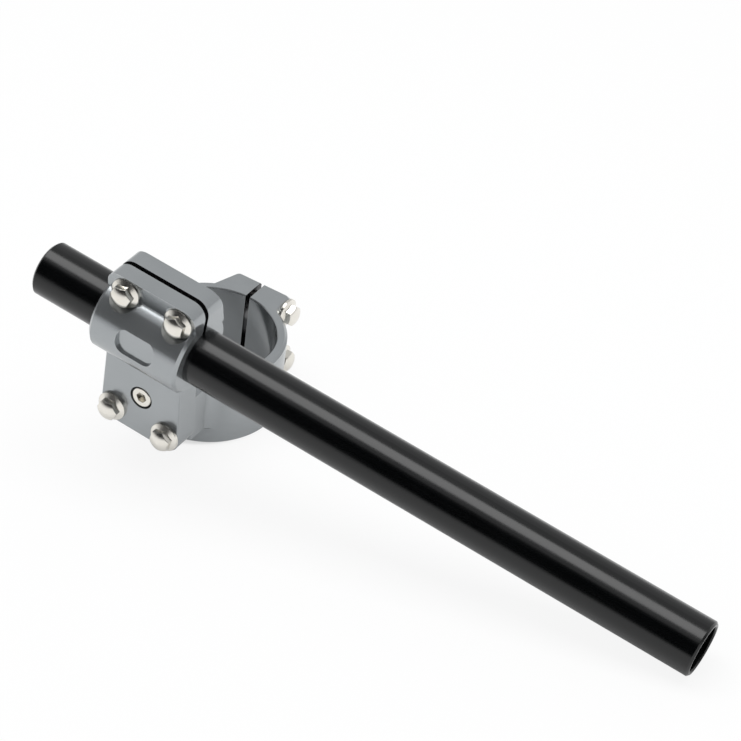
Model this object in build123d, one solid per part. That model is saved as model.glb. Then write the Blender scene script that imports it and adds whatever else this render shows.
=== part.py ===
from build123d import *
import os
from math import cos, radians, sin, sqrt, tan

# A clip-on handlebar for one fork leg, in millimetres. Z is the axis of the fork tube, with the origin in
# the middle of its bore. The bolted front of the riser faces -Y. The bar's long end points to +X and droops.

# Fork clamp: the ring
fork_diameter = 53.0
ring_wall = 4.2
ring_height = 34.0
ring_edge = 1.2
bore_edge = 0.5
fork_slit = 2.0

# Fork clamp: the two ears, on the far side of the ring from the boss
ear_bolt_offset = 2.8
ear_bolt_spacing = 24.0
ear_end_margin = 5.0
ear_corner = 3.0
ear_root = 2.5
head_ear = 14.4
tapped_ear = 12.2
tapped_ear_taper = 18.0
lug_height = 12.2
lug_land = 0.3
lug_root = 1.5

# Fork clamp: the boss that carries the riser
boss_width = 37.0
boss_depth = 7.0
boss_height = 22.5
boss_blend = 10.0
boss_root = 5.5
notch_length = 22.0
notch_width = 6.3
notch_depth = 5.5
notch_corner = 3.0

# Riser: the plate, whose foot is turned about Y with the bar and whose sides stay upright
droop = 5.2
plate_width = 37.0
plate_shift = 1.5
plate_side_taper = 2.0
plate_thickness = 11.2
plate_drop = 4.4
plate_corner = 5.5
plate_edge = 0.5
riser_bolt_height = 2.4
riser_bolt_spacing = 25.0
riser_bolt_shift = 0.85
screw_below_top = 3.0

# Riser: the split barrel and its ears
bar_rise = 47.9
bar_lead = 9.0
barrel_wall = 5.4
barrel_length = 40.0
barrel_edge = 1.2
front_root = 1.5
rear_root = 5.0
bar_slit = 2.1
clamp_ear_depth = 17.6
clamp_ear_rise = 24.1
clamp_ear_corner = 6.0
clamp_front_foot = 24.0
clamp_rear_foot = 55.0
bar_bolt_rise = 16.9
bar_bolt_spacing = 24.0
bar_bolt_shift = 0.85
spot_face_sink = 1.2
recess_length = 17.0
recess_height = 11.0
recess_corner = 4.5
recess_depth = 1.5
recess_lift = 1.75
recess_shift = 0.9

# Handlebar
bar_diameter = 22.2
bar_wall = 2.0
bar_length = 288.0
bar_short_end = 50.7
bar_edge = 0.8
bar_bore_edge = 0.5
bar_fit = 0.05

# Flanged hexagon bolts, all of one thread
bolt_diameter = 6.0
bolt_hole = 6.5
spot_face_gap = 0.5
bolt_point = 0.6
thread_gap = 0.1
flange_diameter = 12.2
flange_edge = 1.0
flange_slope = 1.1
hex_flats = 8.0
hex_rise = 5.7
dome_radius = 7.2
riser_bolt_engagement = 12.0

# How far each bolt's hexagon is turned where the bolt is tight, in degrees
bar_bolt_turns = {"bar_pinch_bolt_inner": 12, "bar_pinch_bolt_outer": 27}
riser_bolt_turns = {"riser_bolt_inner": 8, "riser_bolt_outer": 22}
ear_bolt_turns = {"fork_pinch_bolt_lower": 5, "fork_pinch_bolt_upper": 18}

# Socket-head screw
screw_diameter = 5.0
screw_head_diameter = 8.5
screw_head_height = 5.0
screw_head_edge = 0.3
screw_socket_flats = 4.0
screw_socket_depth = 2.6
counterbore_diameter = 10.0
counterbore_depth = 5.1

# Places that several pieces share
fork_radius = fork_diameter / 2
ring_radius = fork_radius + ring_wall
ring_top = ring_height / 2
ear_bolt_y = ring_radius + ear_bolt_offset
ear_end_y = ear_bolt_y + ear_end_margin
seat_y = -(ring_radius + boss_depth)
plate_front_y = seat_y - plate_thickness
bar_y = seat_y - bar_lead
bar_radius = bar_diameter / 2
barrel_radius = bar_radius + barrel_wall
clamp_front_y = bar_y - clamp_ear_depth / 2
clamp_rear_y = bar_y + clamp_ear_depth / 2
clamp_top = bar_rise + clamp_ear_rise
bar_bolt_z = bar_rise + bar_bolt_rise
screw_height = ring_top - screw_below_top
spot_face_y = clamp_front_y + spot_face_sink
boss_bottom = ring_top - boss_height
tapped_diameter = bolt_diameter + thread_gap
spot_face_diameter = flange_diameter + 2 * spot_face_gap
beyond = 2 * (ring_height + boss_width)

# The riser and all that it carries are laid out upright and then turned about the fork clamp's middle
riser_turn = Rot(0, droop, 0)


def rod(diameter, start, end):
    """A round bar from one point to another, for shanks and holes."""
    run = Vector(*end) - Vector(*start)
    foot = Plane(origin=start, z_dir=run)
    return extrude(foot * Circle(diameter / 2), amount=run.length)


def block(low, high):
    """A box between two opposite corners."""
    size = [b - a for a, b in zip(low, high)]
    middle = [(a + b) / 2 for a, b in zip(low, high)]
    return Pos(*middle) * Box(*size)


def riser_bolt_axis(side):
    """X of a riser bolt on one side of the pair's middle."""
    return riser_bolt_shift + side * riser_bolt_spacing / 2


def bar_bolt_axis(side):
    """X of a bar pinch bolt on one side of the pair's middle."""
    return bar_bolt_shift + side * bar_bolt_spacing / 2


def ear_bolt_axis(side):
    """Z of a fork pinch bolt above or below the ring's middle."""
    return side * ear_bolt_spacing / 2


def ear_plan():
    """Plan of both ears as one block: square to the bolts on the head side, tapered on the tapped side."""
    spread = ear_end_y * tan(radians(tapped_ear_taper))
    corners = [(head_ear, 0), (head_ear, ear_end_y), (-tapped_ear, ear_end_y), (-tapped_ear - spread, 0)]
    plan = make_face(Polyline(*corners, close=True))
    outer = [v for v in plan.vertices() if abs(v.Y - ear_end_y) < 1e-6]
    return fillet(outer, ear_corner)


def ring_and_ears_plan():
    """Plan of the ring's disc with its ears, the hollow corner on the head side rounded out."""
    plan = Circle(ring_radius) + ear_plan()
    root_y = sqrt(ring_radius**2 - head_ear**2)
    roots = [v for v in plan.vertices() if abs(v.X - head_ear) < 1e-4 and abs(v.Y - root_y) < 1e-4]
    return fillet(roots, ear_root)


def boss_plan():
    """Plan of the boss, its sides swept into the ring by hollow arcs that touch both."""
    plan = Circle(ring_radius) + Pos(0, seat_y / 2) * Rectangle(boss_width, -seat_y)
    roots = [v for v in plan.vertices() if abs(abs(v.X) - boss_width / 2) < 1e-4 and v.Y > seat_y + 1e-3]
    return fillet(roots, boss_blend)


def boss():
    """The boss, level with the ring's top, its underside running down into the ring in a hollow sweep."""
    root_foot = boss_bottom - boss_root
    body = extrude(Pos(0, 0, root_foot) * boss_plan(), amount=ring_top - root_foot)
    sweep = CenterArc((ring_radius + boss_root, root_foot), boss_root, 90, 90)
    corners = [(ring_radius + boss_root, boss_bottom), (beyond, boss_bottom), (beyond, -beyond)]
    edge = Polyline(*corners, (ring_radius, -beyond), (ring_radius, root_foot))
    below = revolve(Plane.XZ * make_face(sweep + edge), Axis.Z)
    return body - below


def notch():
    """Pocket milled into the boss's top, open to the riser, with rounded inner corners."""
    plan = Pos(0, seat_y + notch_width / 2) * Rectangle(notch_length, notch_width)
    inner = [v for v in plan.vertices() if v.Y > seat_y + notch_width / 2]
    return extrude(Pos(0, 0, ring_top - notch_depth) * fillet(inner, notch_corner), amount=notch_depth)


def lug_window():
    """The gap that splits the head-side ear into two lugs, down to a thin land on the ring's wall."""
    half = ring_height / 2 - lug_height
    gap = block((fork_slit / 2, 0, -half), (beyond, beyond, half))
    rim = extrude(Pos(0, 0, -half) * Circle(ring_radius + lug_land), amount=2 * half)
    window = gap - rim
    floor = [e for e in window.edges().filter_by(GeomType.CIRCLE) if abs(abs(e.center().Z) - half) < 1e-6]
    return fillet(floor, min(lug_root, half / 2))


def fork_clamp():
    """Split ring with two ears and a boss, machined from one block."""
    body = extrude(Pos(0, 0, -ring_top) * ring_and_ears_plan(), amount=ring_height) + boss()
    ends = body.faces().filter_by(Axis.Z)
    rims = [e for f in (ends.sort_by(Axis.Z)[0], ends.sort_by(Axis.Z)[-1]) for e in f.outer_wire().edges()]
    round_rims = [e for e in rims if e.geom_type == GeomType.CIRCLE and abs(e.radius - ring_radius) < 1e-4]
    body = chamfer(round_rims, ring_edge)
    body -= extrude(Pos(0, 0, -ring_top) * Circle(fork_radius), amount=ring_height)
    mouths = [e for e in body.edges().filter_by(GeomType.CIRCLE) if abs(e.radius - fork_radius) < 1e-4]
    body = chamfer(mouths, bore_edge)
    body -= block((-fork_slit / 2, 0, -ring_height), (fork_slit / 2, beyond, ring_height))
    body -= lug_window()
    body -= notch()
    for side in (-1, 1):
        z = ear_bolt_axis(side)
        body -= rod(bolt_hole, (0, ear_bolt_y, z), (beyond, ear_bolt_y, z))
        body -= rod(spot_face_diameter, (head_ear, ear_bolt_y, z), (beyond, ear_bolt_y, z))
        body -= rod(tapped_diameter, (0, ear_bolt_y, z), (-beyond, ear_bolt_y, z))
        x = riser_bolt_axis(side)
        start = (x, 0, riser_bolt_height)
        body -= riser_turn * rod(tapped_diameter, start, (x, -beyond, riser_bolt_height))
    return body


def tab_profile():
    """Section of the two ears as one tab on the barrel, overhung in front and sloped behind."""
    half = clamp_ear_depth / 2
    front = radians(clamp_front_foot)
    rear = radians(clamp_rear_foot)
    corners = [
        (-barrel_radius * sin(front), barrel_radius * cos(front)),
        (-half, clamp_ear_rise),
        (half, clamp_ear_rise),
        (barrel_radius * sin(rear), barrel_radius * cos(rear)),
        (0, 0),
    ]
    return Plane.YZ * Pos(bar_y, bar_rise) * make_face(Polyline(*corners, close=True))


def barrel():
    """The barrel with its rims broken, and the tab of its ears with round shoulders."""
    half = barrel_length / 2
    body = rod(2 * barrel_radius, (-half, bar_y, bar_rise), (half, bar_y, bar_rise))
    body = chamfer(body.edges().filter_by(GeomType.CIRCLE), barrel_edge)
    tab = extrude(tab_profile(), amount=half, both=True)
    shoulders = [e for e in tab.edges().filter_by(Axis.Y) if abs(e.center().Z - clamp_top) < 1e-4]
    return body + fillet(shoulders, clamp_ear_corner)


def plate_profile():
    """Section of the plate as it grows out of the barrel, with its own hollow corners at front and rear."""
    height = bar_rise + plate_drop
    middle = Pos((seat_y + plate_front_y) / 2, bar_rise - height / 2)
    profile = Pos(bar_y, bar_rise) * Circle(barrel_radius) + middle * Rectangle(plate_thickness, height)
    lowest = -plate_drop + 1e-3
    front = [v for v in profile.vertices() if abs(v.X - plate_front_y) < 1e-4 and v.Y > lowest]
    profile = fillet(front, front_root)
    rear = [v for v in profile.vertices() if abs(v.X - seat_y) < 1e-4 and v.Y > lowest]
    return Plane.YZ * fillet(rear, rear_root)


def plate_outline():
    """Front view of the plate: sides parallel to the fork but for a small taper, foot corners rounded."""
    height = bar_rise + plate_drop
    lean = -height * tan(radians(droop))
    draw_in = height * tan(radians(plate_side_taper))
    left = plate_shift - plate_width / 2
    right = plate_shift + plate_width / 2
    foot = [(left, -plate_drop), (right, -plate_drop)]
    head = [(right + lean - draw_in, bar_rise), (left + lean + draw_in, bar_rise)]
    outline = make_face(Polyline(*foot, *head, close=True))
    return fillet(outline.vertices().sort_by(Axis.Y)[:2], plate_corner)


def plate():
    """The plate up to the barrel's axis: its section, trimmed to its outline, its front edges broken."""
    body = extrude(plate_profile(), amount=barrel_length / 2, both=True)
    front = Plane((0, plate_front_y, 0), x_dir=(1, 0, 0), z_dir=(0, -1, 0))
    deep = plate_thickness + barrel_radius + rear_root
    trimmed = body & extrude(front * plate_outline(), amount=-deep)
    outer = [e for e in trimmed.edges() if abs(e.center().Y - plate_front_y) < 1e-4]
    lowest = min(e.bounding_box().min.Z for e in outer)
    sides = [e for e in outer if e.bounding_box().min.Z < lowest + plate_drop + plate_corner]
    return chamfer(sides, plate_edge)


def bar_riser():
    """Plate with a split barrel for the bar, machined from one block."""
    body = barrel() + plate()
    body -= rod(bar_diameter + 2 * bar_fit, (-beyond, bar_y, bar_rise), (beyond, bar_y, bar_rise))
    body -= block((-beyond, bar_y - bar_slit / 2, bar_rise), (beyond, bar_y + bar_slit / 2, beyond))
    for side in (-1, 1):
        x = bar_bolt_axis(side)
        body -= rod(bolt_hole, (x, bar_y, bar_bolt_z), (x, -beyond, bar_bolt_z))
        body -= rod(spot_face_diameter, (x, spot_face_y, bar_bolt_z), (x, -beyond, bar_bolt_z))
        body -= rod(tapped_diameter, (x, bar_y, bar_bolt_z), (x, 0, bar_bolt_z))
        x = riser_bolt_axis(side)
        body -= rod(bolt_hole, (x, 0, riser_bolt_height), (x, -beyond, riser_bolt_height))
    sink_y = plate_front_y + counterbore_depth
    before_y = plate_front_y - counterbore_depth
    body -= rod(screw_diameter + thread_gap, (0, 0, screw_height), (0, -beyond, screw_height))
    body -= rod(counterbore_diameter, (0, sink_y, screw_height), (0, before_y, screw_height))
    floor_y = bar_y - barrel_radius + recess_depth
    floor = Plane((recess_shift, floor_y, bar_rise + recess_lift), x_dir=(1, 0, 0), z_dir=(0, -1, 0))
    recess = floor * RectangleRounded(recess_length, recess_height, recess_corner)
    return body - extrude(recess, amount=barrel_wall)


def handlebar():
    """Straight open tube."""
    start = (-bar_short_end, bar_y, bar_rise)
    end = (bar_length - bar_short_end, bar_y, bar_rise)
    tube = rod(bar_diameter, start, end)
    tube = chamfer(tube.edges().filter_by(GeomType.CIRCLE), bar_edge)
    bore_radius = bar_radius - bar_wall
    tube -= rod(2 * bore_radius, start, end)
    mouths = [e for e in tube.edges().filter_by(GeomType.CIRCLE) if abs(e.radius - bore_radius) < 1e-4]
    return chamfer(mouths, bar_bore_edge)


def flange_bolt(length):
    """Flanged hexagon bolt: seat at Z 0, head above it with a domed top, and shank below."""
    flange_top = flange_edge + flange_slope
    flange = [
        (0, 0),
        (flange_diameter / 2, 0),
        (flange_diameter / 2, flange_edge),
        (hex_flats / 2, flange_top),
        (0, flange_top),
    ]
    head = revolve(Plane.XZ * make_face(Polyline(*flange, close=True)), Axis.Z)
    hexagon = extrude(RegularPolygon(hex_flats / 2, 6, major_radius=False), amount=hex_rise)
    head += hexagon & Pos(0, 0, hex_rise - dome_radius) * Sphere(dome_radius)
    shank = rod(bolt_diameter, (0, 0, 0), (0, 0, -length))
    point = shank.edges().filter_by(GeomType.CIRCLE).sort_by(Axis.Z)[0]
    return head + chamfer(point, bolt_point)


def socket_screw(length):
    """Socket-head screw: seat at Z 0, round head above it with a hexagon socket, shank below."""
    head = rod(screw_head_diameter, (0, 0, 0), (0, 0, screw_head_height))
    rim = head.edges().filter_by(GeomType.CIRCLE).sort_by(Axis.Z)[-1]
    head = chamfer(rim, screw_head_edge)
    floor = Pos(0, 0, screw_head_height - screw_socket_depth)
    socket = floor * RegularPolygon(screw_socket_flats / 2, 6, major_radius=False)
    head -= extrude(socket, amount=screw_socket_depth)
    return head + rod(screw_diameter, (0, 0, 0), (0, 0, -length))


def facing_front(x, y, z, turn):
    """Place of a fastener whose head faces -Y, turned about its own axis."""
    return riser_turn * Location(Plane((x, y, z), x_dir=(1, 0, 0), z_dir=(0, -1, 0))) * Rot(0, 0, turn)


def facing_long_end(y, z, turn):
    """Place of a fork pinch bolt, its head on the long bar's side."""
    return Location(Plane((head_ear, y, z), x_dir=(0, 1, 0), z_dir=(1, 0, 0))) * Rot(0, 0, turn)


def pieces():
    """Every piece by its name, in its place."""
    made = {
        "fork_clamp": fork_clamp(),
        "bar_riser": riser_turn * bar_riser(),
        "handlebar": riser_turn * handlebar(),
    }
    bar_bolt_length = clamp_rear_y - spot_face_y
    for side, (name, turn) in zip((-1, 1), bar_bolt_turns.items()):
        place = facing_front(bar_bolt_axis(side), spot_face_y, bar_bolt_z, turn)
        made[name] = place * flange_bolt(bar_bolt_length)
    riser_bolt_length = plate_thickness + riser_bolt_engagement
    for side, (name, turn) in zip((-1, 1), riser_bolt_turns.items()):
        place = facing_front(riser_bolt_axis(side), plate_front_y, riser_bolt_height, turn)
        made[name] = place * flange_bolt(riser_bolt_length)
    ear_bolt_length = head_ear + tapped_ear
    for side, (name, turn) in zip((-1, 1), ear_bolt_turns.items()):
        place = facing_long_end(ear_bolt_y, ear_bolt_axis(side), turn)
        made[name] = place * flange_bolt(ear_bolt_length)
    screw_place = facing_front(0, plate_front_y + counterbore_depth, screw_height, 0)
    made["locating_screw"] = screw_place * socket_screw(plate_thickness - counterbore_depth)
    return made


os.makedirs("parts", exist_ok=True)
for node, solid in pieces().items():
    export_step(solid, f"parts/{node}.step")
    print(node, round(solid.volume, 1))
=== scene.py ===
import bpy
import numpy as np
from mathutils import Matrix, Vector

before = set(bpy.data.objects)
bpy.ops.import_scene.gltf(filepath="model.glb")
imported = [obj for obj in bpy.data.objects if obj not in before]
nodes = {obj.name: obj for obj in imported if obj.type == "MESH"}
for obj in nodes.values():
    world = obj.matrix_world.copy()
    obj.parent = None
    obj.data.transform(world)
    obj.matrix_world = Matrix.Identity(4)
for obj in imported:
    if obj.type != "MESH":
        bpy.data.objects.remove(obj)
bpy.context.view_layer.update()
scene = bpy.context.scene

# Sizes of the photograph and of the camera that took it, in pixels
PHOTO_WIDTH = 741
FOCAL_PIXELS = 2642.05
SENSOR_MM = 36.0

# The camera's place in metres, with its right and down directions
CAMERA_PLACE = (0.419625, -0.702306, 0.674738)
CAMERA_RIGHT = (0.845590, 0.521560, 0.113807)
CAMERA_DOWN = (0.409162, -0.496285, -0.765694)

# The floor: the clip-on lies on the ring's lower edge and on the underside of its long end
RING_FOOT = (0.0295, 0.0, -0.0170)
BAR_FOOT = (0.23886, 0.0, 0.01521)
FLOOR_REACH = 12.0
FLOOR_WHITE = 0.88
FLOOR_WHITE_IN_METAL = 0.25

# The lamp overhead, and the dark screen in front of the clip-on, with its bearings and heights in degrees
LAMP_PLACE = (-0.20, 0.0, 1.25)
LAMP_TARGET = (-0.20, 0.03, 0.03)
LAMP_WIDTH, LAMP_DEPTH = 1.5, 0.71
LAMP_POWER = 10.7
SCREEN_REACH = 2.0
SCREEN_BEARINGS = (-65.0, 110.0)
SCREEN_HEIGHTS = (3.0, 56.0)
WORLD_LEVEL = 0.6

# The bar's droop from the ring's plane, and the radius over which edges are rounded, for worn edges and
# their painted highlight
BAR_DROOP = np.radians(5.2)
EDGE_RADIUS = 0.00035

# The fork bore's faces lie within this radius of the Z axis
BORED_WITHIN = 0.0266

# Each slit's walls, darkened with painted shade: the axis across it, its middle, just over half its width,
# the axis along it, its start
BAR_MIDDLE = float(np.mean([corner[1] for corner in nodes["handlebar"].bound_box]))
RING_SLIT = ("X", 0.0, 0.00102, "Y", 0.020)
RISER_SLIT = ("Y", BAR_MIDDLE, 0.00107, "Z", 0.050)


def socket_group(name, inputs, outputs):
    """An empty shader node group with the named value and vector sockets."""
    group = bpy.data.node_groups.new(name, "ShaderNodeTree")
    kinds = {"value": "NodeSocketFloat", "vector": "NodeSocketVector"}
    for label, kind, default in inputs:
        made = group.interface.new_socket(label, in_out="INPUT", socket_type=kinds[kind])
        made.default_value = default
    for label, kind in outputs:
        group.interface.new_socket(label, in_out="OUTPUT", socket_type=kinds[kind])
    return group, group.nodes.new("NodeGroupInput"), group.nodes.new("NodeGroupOutput")


def maths(tree, operation, first, second=None, clamp=False):
    """A Math node fed with sockets or plain numbers; gives its output socket."""
    node = tree.nodes.new("ShaderNodeMath")
    node.operation = operation
    node.use_clamp = clamp
    for place, value in enumerate((first, second)):
        if value is None:
            continue
        if isinstance(value, (int, float)):
            node.inputs[place].default_value = value
        else:
            tree.links.new(value, node.inputs[place])
    return node.outputs[0]


def spread(tree, value, low, high, new_low, new_high):
    """A Map Range node that takes low..high to new_low..new_high and holds its ends."""
    node = tree.nodes.new("ShaderNodeMapRange")
    node.clamp = True
    for label, number in (("From Min", low), ("From Max", high), ("To Min", new_low), ("To Max", new_high)):
        node.inputs[label].default_value = number
    tree.links.new(value, node.inputs["Value"])
    return node.outputs["Result"]


def between(tree, value, low, high):
    """A noise's usual run of values, 0.3 to 0.7, taken to low..high."""
    return spread(tree, value, 0.3, 0.7, low, high)


def noise(tree, vector, scale, detail, roughness=0.5):
    """A three-dimensional noise on the given coordinates; gives its value from 0 to 1."""
    node = tree.nodes.new("ShaderNodeTexNoise")
    node.inputs["Scale"].default_value = scale
    node.inputs["Detail"].default_value = detail
    node.inputs["Roughness"].default_value = roughness
    tree.links.new(vector, node.inputs["Vector"])
    return node.outputs["Fac"]


def stretched(tree, vector, scale, turn=(0.0, 0.0, 0.0)):
    """The coordinates turned and stretched by a Mapping node, so that a noise becomes fine lines."""
    node = tree.nodes.new("ShaderNodeMapping")
    node.inputs["Rotation"].default_value = turn
    node.inputs["Scale"].default_value = scale
    tree.links.new(vector, node.inputs["Vector"])
    return node.outputs["Vector"]


def blend(tree, factor, first, second):
    """A Mix node for colours: first where factor is 0, second where it is 1."""
    node = tree.nodes.new("ShaderNodeMix")
    node.data_type = "RGBA"
    tree.links.new(factor, node.inputs["Factor"])
    for place, value in ((6, first), (7, second)):
        if isinstance(value, tuple):
            node.inputs[place].default_value = (*value, 1.0)
        else:
            tree.links.new(value, node.inputs[place])
    return node.outputs[2]


def edge_wear_and_glint_group():
    """Mask of worn edges, which on the grey metal also carry a painted highlight: how far a normal that is
    rounded over a small radius leans from the true one.
    """
    group, given, put = socket_group(
        "edge_wear_and_glint",
        [("Vector", "vector", (0, 0, 0)), ("Gain", "value", 4.0)],
        [("Mask", "value"), ("Normal", "vector")],
    )
    rounded = group.nodes.new("ShaderNodeBevel")
    rounded.samples = 6
    rounded.inputs["Radius"].default_value = EDGE_RADIUS
    plain = group.nodes.new("ShaderNodeNewGeometry")
    lean = group.nodes.new("ShaderNodeVectorMath")
    lean.operation = "DOT_PRODUCT"
    group.links.new(rounded.outputs["Normal"], lean.inputs[0])
    group.links.new(plain.outputs["Normal"], lean.inputs[1])
    off = maths(group, "SUBTRACT", 1.0, lean.outputs["Value"])
    broken = between(group, noise(group, given.outputs["Vector"], 300.0, 3.0), 0.7, 1.0)
    scaled = maths(group, "MULTIPLY", off, given.outputs["Gain"])
    group.links.new(maths(group, "MULTIPLY", scaled, broken, clamp=True), put.inputs["Mask"])
    group.links.new(rounded.outputs["Normal"], put.inputs["Normal"])
    return group


def tool_marks_group():
    """Fine parallel lines of a cutter: a noise stretched hard along one direction, as a value about 0.5."""
    group, given, put = socket_group(
        "tool_marks",
        [("Vector", "vector", (0, 0, 0)), ("Fine", "value", 0.5)],
        [("Value", "value")],
    )
    broad = noise(group, given.outputs["Vector"], 1.0, 2.0)
    fine = noise(group, stretched(group, given.outputs["Vector"], (4.0, 4.0, 4.0)), 1.0, 3.0, 0.7)
    node = group.nodes.new("ShaderNodeMix")
    group.links.new(given.outputs["Fine"], node.inputs["Factor"])
    group.links.new(broad, node.inputs[2])
    group.links.new(fine, node.inputs[3])
    group.links.new(node.outputs[0], put.inputs["Value"])
    return group


def handling_group():
    """Slow cloudy patches where hands and cloths have been, as a value about 0.5."""
    group, given, put = socket_group("handling", [("Vector", "vector", (0, 0, 0))], [("Value", "value")])
    group.links.new(noise(group, given.outputs["Vector"], 55.0, 4.0, 0.6), put.inputs["Value"])
    return group


edge_wear_and_glint = edge_wear_and_glint_group()
tool_marks = tool_marks_group()
handling = handling_group()


def new_material(name):
    """A node material with its Principled shader, its tree and its Object coordinates."""
    material = bpy.data.materials.new(name)
    material.use_nodes = True
    tree = material.node_tree
    shader = tree.nodes["Principled BSDF"]
    coordinates = tree.nodes.new("ShaderNodeTexCoord").outputs["Object"]
    return material, tree, shader, coordinates


def placed(tree, group, **inputs):
    """A node group set into a material, its inputs given as sockets or numbers."""
    node = tree.nodes.new("ShaderNodeGroup")
    node.node_tree = group
    for label, value in inputs.items():
        if isinstance(value, (int, float)):
            node.inputs[label].default_value = value
        else:
            tree.links.new(value, node.inputs[label])
    return node


def bumped(tree, height, strength, distance, normal=None):
    """A Bump node, on top of another normal where one is given."""
    node = tree.nodes.new("ShaderNodeBump")
    node.inputs["Strength"].default_value = strength
    node.inputs["Distance"].default_value = distance
    tree.links.new(height, node.inputs["Height"])
    if normal is not None:
        tree.links.new(normal, node.inputs["Normal"])
    return node.outputs["Normal"]


def from_axis(tree, coordinates):
    """The distance from the Z axis: the length of the coordinates with their Z left out."""
    flat = tree.nodes.new("ShaderNodeVectorMath")
    flat.operation = "MULTIPLY"
    flat.inputs[1].default_value = (1.0, 1.0, 0.0)
    tree.links.new(coordinates, flat.inputs[0])
    length = tree.nodes.new("ShaderNodeVectorMath")
    length.operation = "LENGTH"
    tree.links.new(flat.outputs["Vector"], length.inputs[0])
    return length.outputs["Value"]


def in_slit(tree, coordinates, across, middle, half, along, start):
    """1 on a slit's walls, which lie within half its width of its middle and past its start; else 0."""
    parts = tree.nodes.new("ShaderNodeSeparateXYZ")
    tree.links.new(coordinates, parts.inputs["Vector"])
    off = maths(tree, "ABSOLUTE", maths(tree, "SUBTRACT", parts.outputs[across], middle))
    past = maths(tree, "GREATER_THAN", parts.outputs[along], start)
    return maths(tree, "MULTIPLY", maths(tree, "LESS_THAN", off, half), past)


def grey_anodised(name, line_stretch, bore_radius, slit_walls):
    """Machined aluminium, anodised a cool grey: faint cutter lines, cloudy patches, paler edges that are
    partly worn and partly a painted highlight.

    Faces inside a bore radius about the Z axis are left as bored, smoother and with stronger lines, and are
    darkened with painted shade.
    The slit's walls are darkened with painted shade.
    """
    material, tree, shader, coordinates = new_material(name)
    cut = stretched(tree, coordinates, line_stretch)
    lines = placed(tree, tool_marks, Vector=cut, Fine=0.5).outputs["Value"]
    cloud = placed(tree, handling, Vector=coordinates).outputs["Value"]
    wear_and_glint = placed(tree, edge_wear_and_glint, Vector=coordinates, Gain=2.0)
    body = blend(tree, between(tree, cloud, 0.0, 1.0), (0.366, 0.386, 0.396), (0.394, 0.413, 0.424))
    body = blend(tree, between(tree, lines, 0.0, 0.3), body, (0.421, 0.440, 0.450))
    dull = maths(tree, "ADD", between(tree, lines, 0.18, 0.22), between(tree, cloud, -0.02, 0.03))
    shader.inputs["Metallic"].default_value = 0.78
    depth = maths(tree, "MULTIPLY", lines, 0.2)
    if bore_radius:
        bore = maths(tree, "LESS_THAN", from_axis(tree, coordinates), bore_radius)
        # Painted shade: the bore's faces take a darker base colour.
        body = blend(tree, bore, body, (0.220, 0.232, 0.238))
        dull = maths(tree, "SUBTRACT", dull, spread(tree, bore, 0.0, 1.0, 0.0, 0.06))
        tree.links.new(spread(tree, bore, 0.0, 1.0, 0.78, 1.0), shader.inputs["Metallic"])
        depth = maths(tree, "MULTIPLY", lines, spread(tree, bore, 0.0, 1.0, 0.2, 1.0))
    # Paler edges: worn anodising together with a painted highlight along each edge.
    worn_and_glinting = blend(tree, wear_and_glint.outputs["Mask"], body, (0.78, 0.79, 0.80))
    # Painted shade: the slit's walls are made nearly black.
    slit = in_slit(tree, coordinates, *slit_walls)
    tree.links.new(blend(tree, slit, worn_and_glinting, (0.045, 0.047, 0.049)), shader.inputs["Base Color"])
    tree.links.new(dull, shader.inputs["Roughness"])
    tree.links.new(bumped(tree, depth, 0.15, 0.00003), shader.inputs["Normal"])
    return material


def black_tube():
    """Black anodised tube: drawn lines along its length under a satin sheen, its rims rubbed paler."""
    material, tree, shader, coordinates = new_material("black_anodised_tube")
    along = stretched(tree, coordinates, (1.0, 1.0, 1.0), (0.0, -BAR_DROOP, 0.0))
    drawn = stretched(tree, along, (12.0, 900.0, 900.0))
    lines = placed(tree, tool_marks, Vector=drawn, Fine=0.5).outputs["Value"]
    cloud = placed(tree, handling, Vector=coordinates).outputs["Value"]
    wear_and_glint = placed(tree, edge_wear_and_glint, Vector=coordinates, Gain=2.0)
    body = blend(tree, between(tree, lines, 0.0, 1.0), (0.0006, 0.0010, 0.0012), (0.0022, 0.0024, 0.0026))
    worn_and_glinting = blend(tree, wear_and_glint.outputs["Mask"], body, (0.055, 0.054, 0.056))
    tree.links.new(worn_and_glinting, shader.inputs["Base Color"])
    dull = maths(tree, "ADD", between(tree, lines, 0.16, 0.22), between(tree, cloud, -0.02, 0.03))
    tree.links.new(dull, shader.inputs["Roughness"])
    shader.inputs["IOR"].default_value = 1.48
    tree.links.new(bumped(tree, lines, 0.1, 0.00005, wear_and_glint.outputs["Normal"]), shader.inputs["Normal"])
    return material


def bolt_steel():
    """Plated steel, a little warm, with faint clouds and bright corners, its threads darkened in the slits
    with painted shade.
    """
    material, tree, shader, coordinates = new_material("bolt_steel")
    grain = noise(tree, coordinates, 2600.0, 3.0)
    cloud = noise(tree, coordinates, 180.0, 3.0)
    wear_and_glint = placed(tree, edge_wear_and_glint, Vector=coordinates, Gain=1.5)
    body = blend(tree, between(tree, cloud, 0.0, 1.0), (0.82, 0.79, 0.72), (0.86, 0.83, 0.77))
    body = blend(tree, wear_and_glint.outputs["Mask"], body, (0.92, 0.91, 0.89))
    # Painted shade: whatever part of a bolt lies within a slit is made dark.
    slits = [in_slit(tree, coordinates, *walls) for walls in (RING_SLIT, RISER_SLIT)]
    painted_slit_shade = maths(tree, "MAXIMUM", *slits)
    tree.links.new(blend(tree, painted_slit_shade, body, (0.090, 0.086, 0.080)), shader.inputs["Base Color"])
    dull = maths(tree, "ADD", between(tree, grain, 0.22, 0.26), between(tree, cloud, -0.02, 0.02))
    tree.links.new(dull, shader.inputs["Roughness"])
    shader.inputs["Metallic"].default_value = 1.0
    tree.links.new(bumped(tree, grain, 0.02, 0.00002, wear_and_glint.outputs["Normal"]), shader.inputs["Normal"])
    return material


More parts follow.
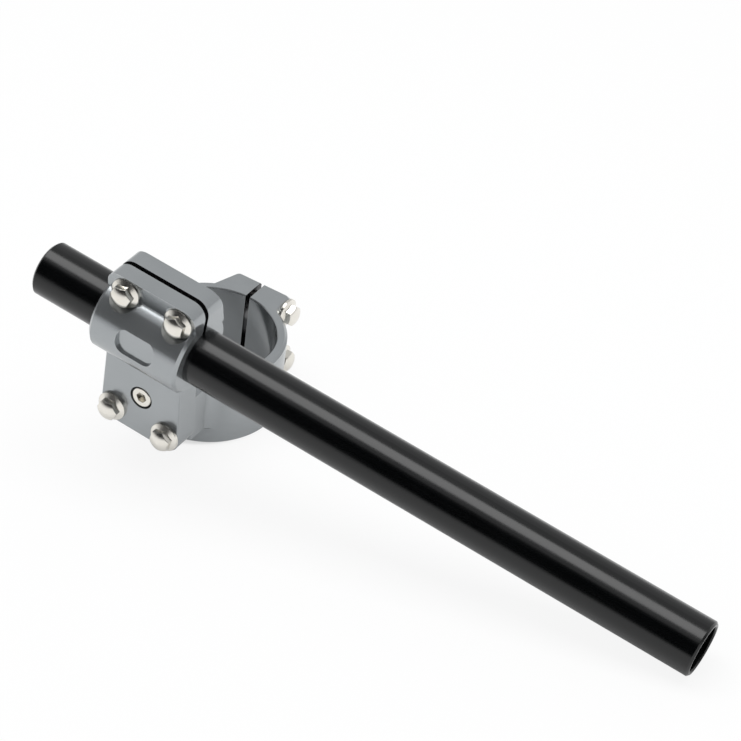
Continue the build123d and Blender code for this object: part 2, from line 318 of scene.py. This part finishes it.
def white_floor():
    """White card: it keeps a soft shadow, shows white to the camera and in metal, and is clear from below.

    Metal shows it with more of its shade, and inside the ring it has no white of its own.
    """
    material = bpy.data.materials.new("white_floor")
    material.use_nodes = True
    tree = material.node_tree
    tree.nodes.clear()
    card = tree.nodes.new("ShaderNodeBsdfDiffuse")
    card.inputs["Color"].default_value = (0.90, 0.90, 0.90, 1.0)
    glow = tree.nodes.new("ShaderNodeEmission")
    glow.inputs["Color"].default_value = (1.0, 1.0, 1.0, 1.0)
    path = tree.nodes.new("ShaderNodeLightPath")
    mirrored = maths(tree, "MULTIPLY", path.outputs["Is Glossy Ray"], FLOOR_WHITE_IN_METAL)
    seen = maths(tree, "ADD", path.outputs["Is Camera Ray"], mirrored)
    seen = maths(tree, "ADD", seen, path.outputs["Is Transmission Ray"], clamp=True)
    coordinates = tree.nodes.new("ShaderNodeTexCoord").outputs["Object"]
    away = from_axis(tree, coordinates)
    share = spread(tree, away, 0.9 * BORED_WITHIN, 1.1 * BORED_WITHIN, 0.0, FLOOR_WHITE)
    shown = tree.nodes.new("ShaderNodeMixShader")
    tree.links.new(maths(tree, "MULTIPLY", seen, share), shown.inputs["Fac"])
    tree.links.new(card.outputs[0], shown.inputs[1])
    tree.links.new(glow.outputs[0], shown.inputs[2])
    clear = tree.nodes.new("ShaderNodeBsdfTransparent")
    side = tree.nodes.new("ShaderNodeNewGeometry")
    final = tree.nodes.new("ShaderNodeMixShader")
    tree.links.new(side.outputs["Backfacing"], final.inputs["Fac"])
    tree.links.new(shown.outputs[0], final.inputs[1])
    tree.links.new(clear.outputs[0], final.inputs[2])
    out = tree.nodes.new("ShaderNodeOutputMaterial")
    tree.links.new(final.outputs[0], out.inputs["Surface"])
    return material


def surface(name, points, material):
    """A mesh from a grid of points, rows by columns by 3, with a quad between each four neighbours."""
    rows, columns = points.shape[:2]
    index = np.arange(rows * columns).reshape(rows, columns)
    corners = [index[:-1, :-1], index[1:, :-1], index[1:, 1:], index[:-1, 1:]]
    quads = np.stack(corners, axis=-1).reshape(-1, 4)
    mesh = bpy.data.meshes.new(name)
    mesh.from_pydata(points.reshape(-1, 3).tolist(), [], quads.tolist())
    mesh.materials.append(material)
    mesh.update()
    piece = bpy.data.objects.new(name, mesh)
    scene.collection.objects.link(piece)
    return piece


def floor():
    """A flat sheet through both feet, level across: z rises with x by the slope between the feet."""
    slope = (BAR_FOOT[2] - RING_FOOT[2]) / (BAR_FOOT[0] - RING_FOOT[0])
    reach = np.linspace(-FLOOR_REACH, FLOOR_REACH, 5)
    across, deep = np.meshgrid(reach, reach)
    rise = RING_FOOT[2] + slope * (across - RING_FOOT[0])
    points = np.stack([across, deep, rise], axis=-1).transpose(1, 0, 2)
    piece = surface("floor", points, white_floor())


def dark_screen():
    """A part of a sphere between two bearings and two heights, dark, that only polished faces show."""
    material = bpy.data.materials.new("dark_screen")
    material.use_nodes = True
    shader = material.node_tree.nodes["Principled BSDF"]
    shader.inputs["Base Color"].default_value = (0.004, 0.004, 0.005, 1.0)
    shader.inputs["Roughness"].default_value = 1.0
    bearings = np.radians(np.linspace(*SCREEN_BEARINGS, 60))
    bearing, height = np.meshgrid(bearings, np.radians(np.linspace(*SCREEN_HEIGHTS, 24)))
    points = SCREEN_REACH * np.stack(
        [np.sin(bearing) * np.cos(height), -np.cos(bearing) * np.cos(height), np.sin(height)], axis=-1
    )
    piece = surface("dark_screen", points, material)
    piece.visible_camera = False
    piece.visible_diffuse = False
    piece.visible_shadow = False


def dress(node, material):
    """Gives a CAD node its finish."""
    nodes[node].data.materials.clear()
    nodes[node].data.materials.append(material)


def softbox(name, place, target, width, height, power):
    """A large rectangular lamp at a place, facing a target."""
    lamp = bpy.data.lights.new(name, "AREA")
    lamp.shape = "RECTANGLE"
    lamp.size, lamp.size_y = width, height
    lamp.energy = power
    piece = bpy.data.objects.new(name, lamp)
    scene.collection.objects.link(piece)
    away = Vector(place) - Vector(target)
    piece.matrix_world = Matrix.Translation(place) @ away.to_track_quat("Z", "Y").to_matrix().to_4x4()


def camera():
    """The photograph's camera, from its fitted place and directions."""
    data = bpy.data.cameras.new("camera")
    data.sensor_fit = "HORIZONTAL"
    data.sensor_width = SENSOR_MM
    data.lens = FOCAL_PIXELS * SENSOR_MM / PHOTO_WIDTH
    piece = bpy.data.objects.new("camera", data)
    scene.collection.objects.link(piece)
    right, down = Vector(CAMERA_RIGHT), Vector(CAMERA_DOWN)
    ahead = right.cross(down)
    turn = Matrix((right, -down, -ahead)).transposed().to_4x4()
    piece.matrix_world = Matrix.Translation(CAMERA_PLACE) @ turn
    scene.camera = piece


BAR_BOLTS = ("bar_pinch_bolt_inner", "bar_pinch_bolt_outer", "riser_bolt_inner", "riser_bolt_outer")
FORK_BOLTS = ("fork_pinch_bolt_lower", "fork_pinch_bolt_upper")

dress("fork_clamp", grey_anodised("grey_anodised_ring", (60.0, 60.0, 1500.0), BORED_WITHIN, RING_SLIT))
dress("bar_riser", grey_anodised("grey_anodised_riser", (60.0, 1500.0, 1500.0), 0.0, RISER_SLIT))
dress("handlebar", black_tube())
steel = bolt_steel()
for bolt in (*BAR_BOLTS, *FORK_BOLTS, "locating_screw"):
    dress(bolt, steel)

floor()
camera()

softbox("overhead", LAMP_PLACE, LAMP_TARGET, LAMP_WIDTH, LAMP_DEPTH, LAMP_POWER)
dark_screen()

world = bpy.data.worlds.new("studio")
scene.world = world
world.use_nodes = True
world.node_tree.nodes["Background"].inputs["Color"].default_value = (0.98, 0.99, 1.0, 1.0)
world.node_tree.nodes["Background"].inputs["Strength"].default_value = WORLD_LEVEL
scene.view_settings.view_transform = "Standard"
